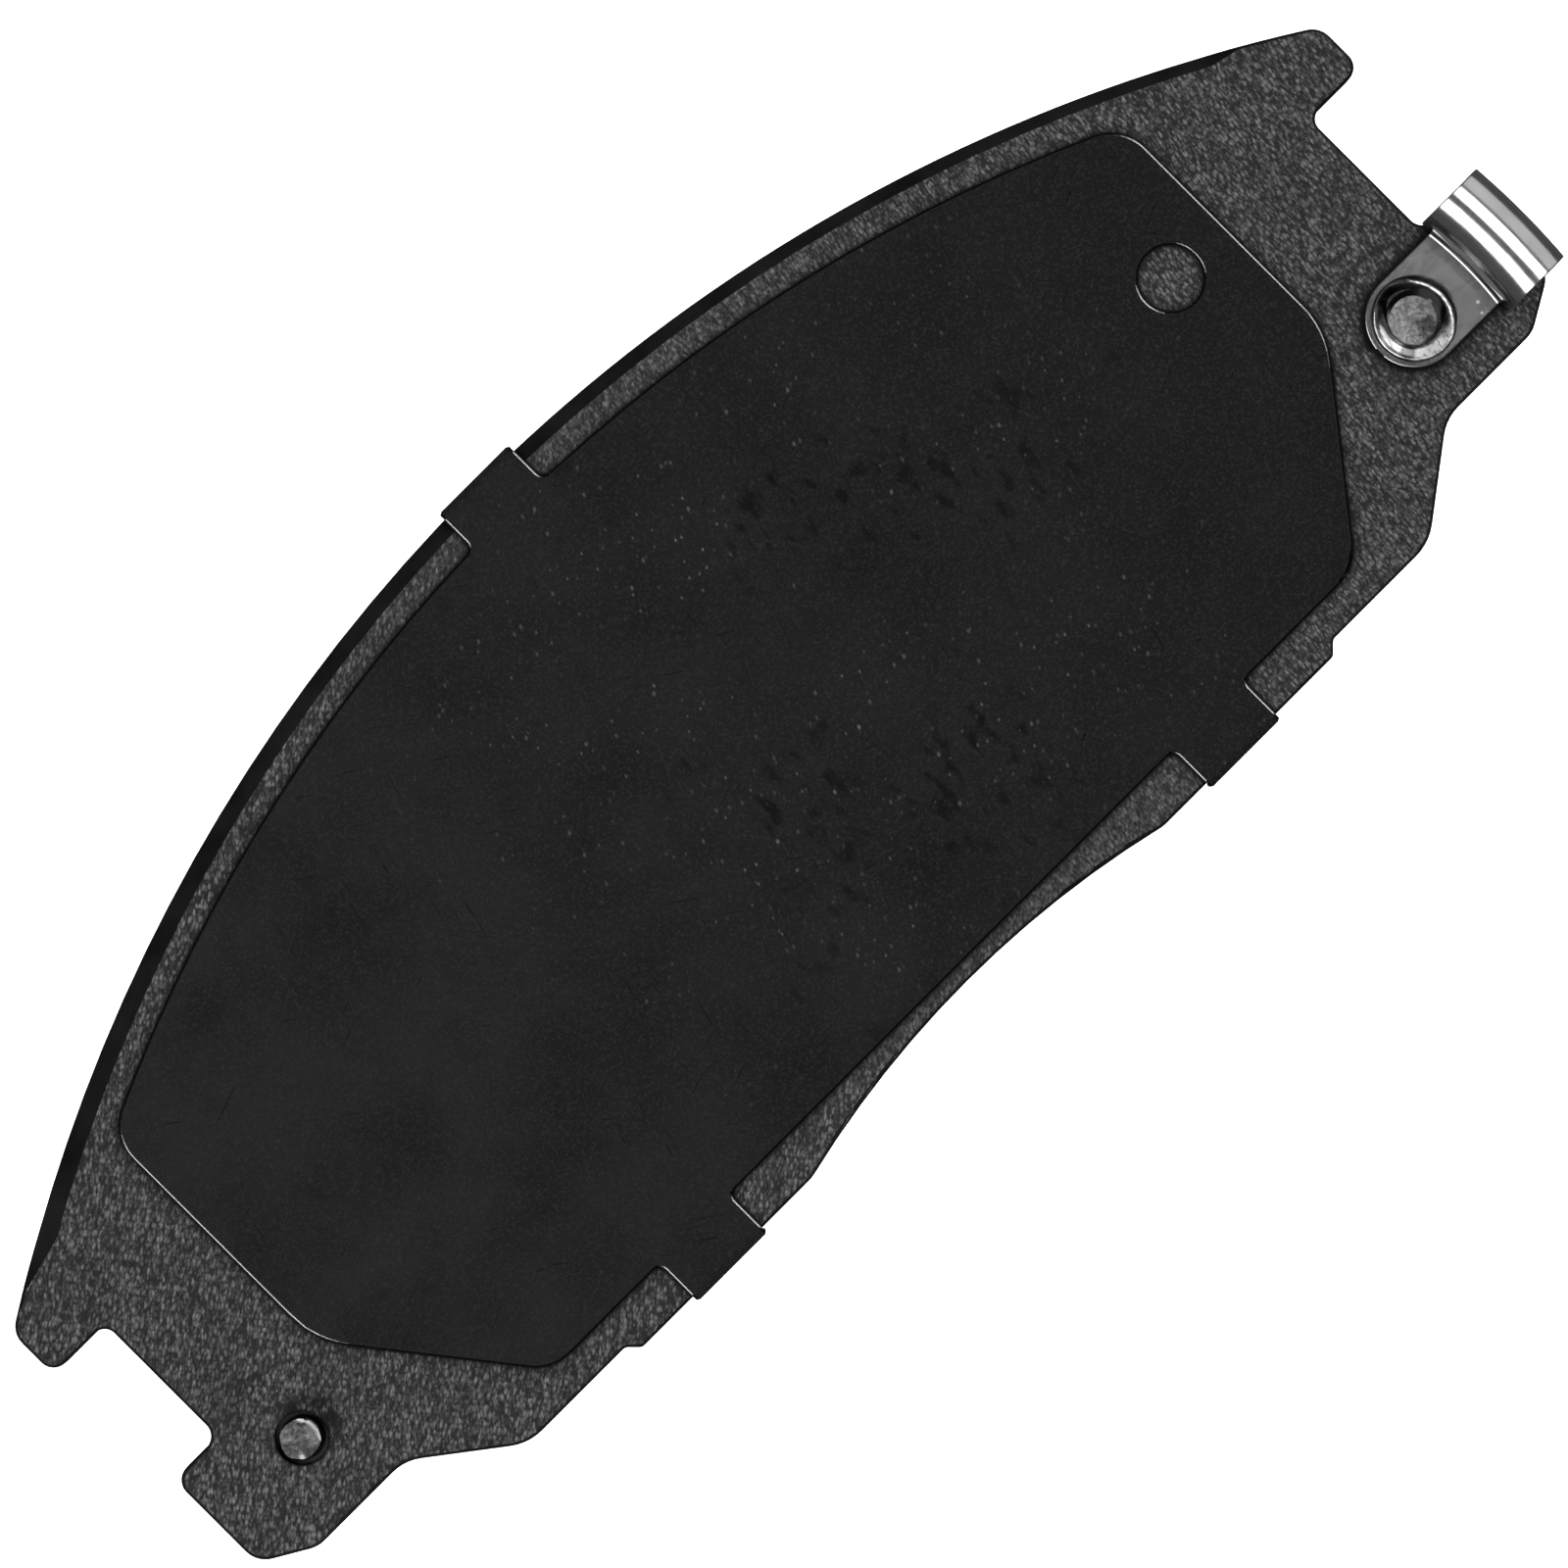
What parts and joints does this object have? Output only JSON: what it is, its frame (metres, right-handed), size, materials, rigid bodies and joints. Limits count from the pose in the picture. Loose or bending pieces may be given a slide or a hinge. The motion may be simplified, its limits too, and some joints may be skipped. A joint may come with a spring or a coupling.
{
  "type": "disc brake pad",
  "caption": "Curved disc brake pad on a steel plate with notched ears, a rubber-coated clip-on shim and a riveted spring steel wear indicator.",
  "frame": {"origin": "middle of the pad on the plane of its friction face", "axes": "+X along the pad towards the ear with the wear indicator, +Y away from the axle towards the long outer arc, +Z from the friction face towards the shim"},
  "size_m": [0.1527, 0.0608, 0.0211],
  "materials": {
    "friction_compound": "matte",
    "underlayer_compound": "matte",
    "adhesive": "satin",
    "powder_coat": "satin",
    "shim_rubber": "satin",
    "shim_steel": "satin",
    "spring_steel": "satin",
    "rivet_steel": "satin"
  },
  "bodies": {
    "root": {"friction_block": "friction_compound", "underlayer": "underlayer_compound", "bonding_adhesive": "adhesive", "backing_plate": "powder_coat", "shim_inner_rubber": "shim_rubber", "shim_steel_core": "shim_steel", "shim_outer_rubber": "shim_rubber", "wear_indicator": "spring_steel", "wear_indicator_rivet": "rivet_steel", "blank_rivet": "rivet_steel"}
  },
  "joints": []
}
